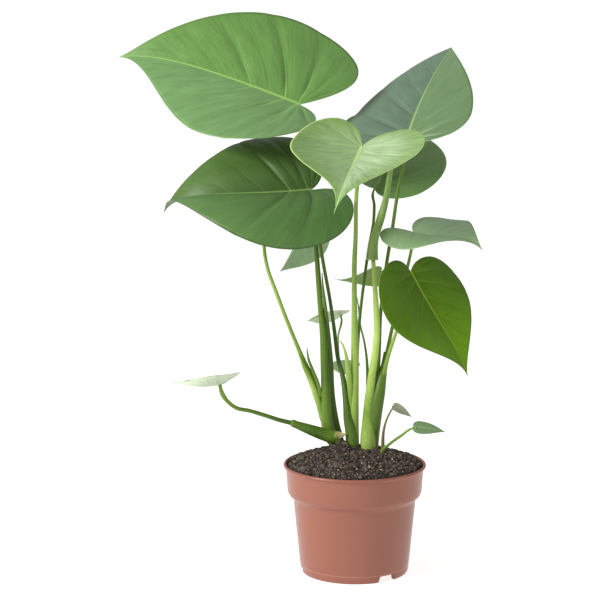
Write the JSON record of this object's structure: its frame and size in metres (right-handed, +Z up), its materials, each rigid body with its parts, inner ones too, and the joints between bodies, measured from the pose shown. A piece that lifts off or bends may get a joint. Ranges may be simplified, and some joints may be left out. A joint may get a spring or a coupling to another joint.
{
  "type": "potted monstera",
  "caption": "Young potted monstera with heart-shaped leaves on upright stems, in a soil-filled round nursery pot.",
  "frame": {"origin": "centre of the pot's underside, on the surface that the pot stands on", "axes": "+Z up along the pot's axis; the plant's front faces -Y, +X is to the right seen from the front"},
  "size_m": [0.4348, 0.4736, 0.655],
  "materials": {
    "pot_plastic": "terracotta-coloured moulded plastic, satin",
    "peat": "loose dark peat soil",
    "stalk": "smooth green leaf stalk",
    "leaf": "waxy green leaf, soft gloss",
    "pale_leaf": "waxy young leaf, pale green",
    "withered_leaf": "dry brown-green leaf"
  },
  "bodies": {
    "root": {"pot": "pot_plastic", "soil": "peat", "stems_left": "stalk", "stems_middle": "stalk", "stems_right": "stalk", "stem_low": "stalk", "furled_leaf": "leaf", "seedling_dry": "withered_leaf", "seedling_fresh": "leaf", "leaf_top_left": "leaf", "leaf_middle_left": "leaf", "leaf_top_right": "leaf", "leaf_back_right": "leaf", "leaf_side_right": "leaf", "leaf_hanging_right": "leaf", "leaf_back_left": "leaf", "leaf_behind_middle": "leaf", "leaf_small_back": "leaf", "leaf_lowest_back": "leaf", "leaf_front": "pale_leaf", "leaf_low_left": "pale_leaf"}
  },
  "joints": []
}
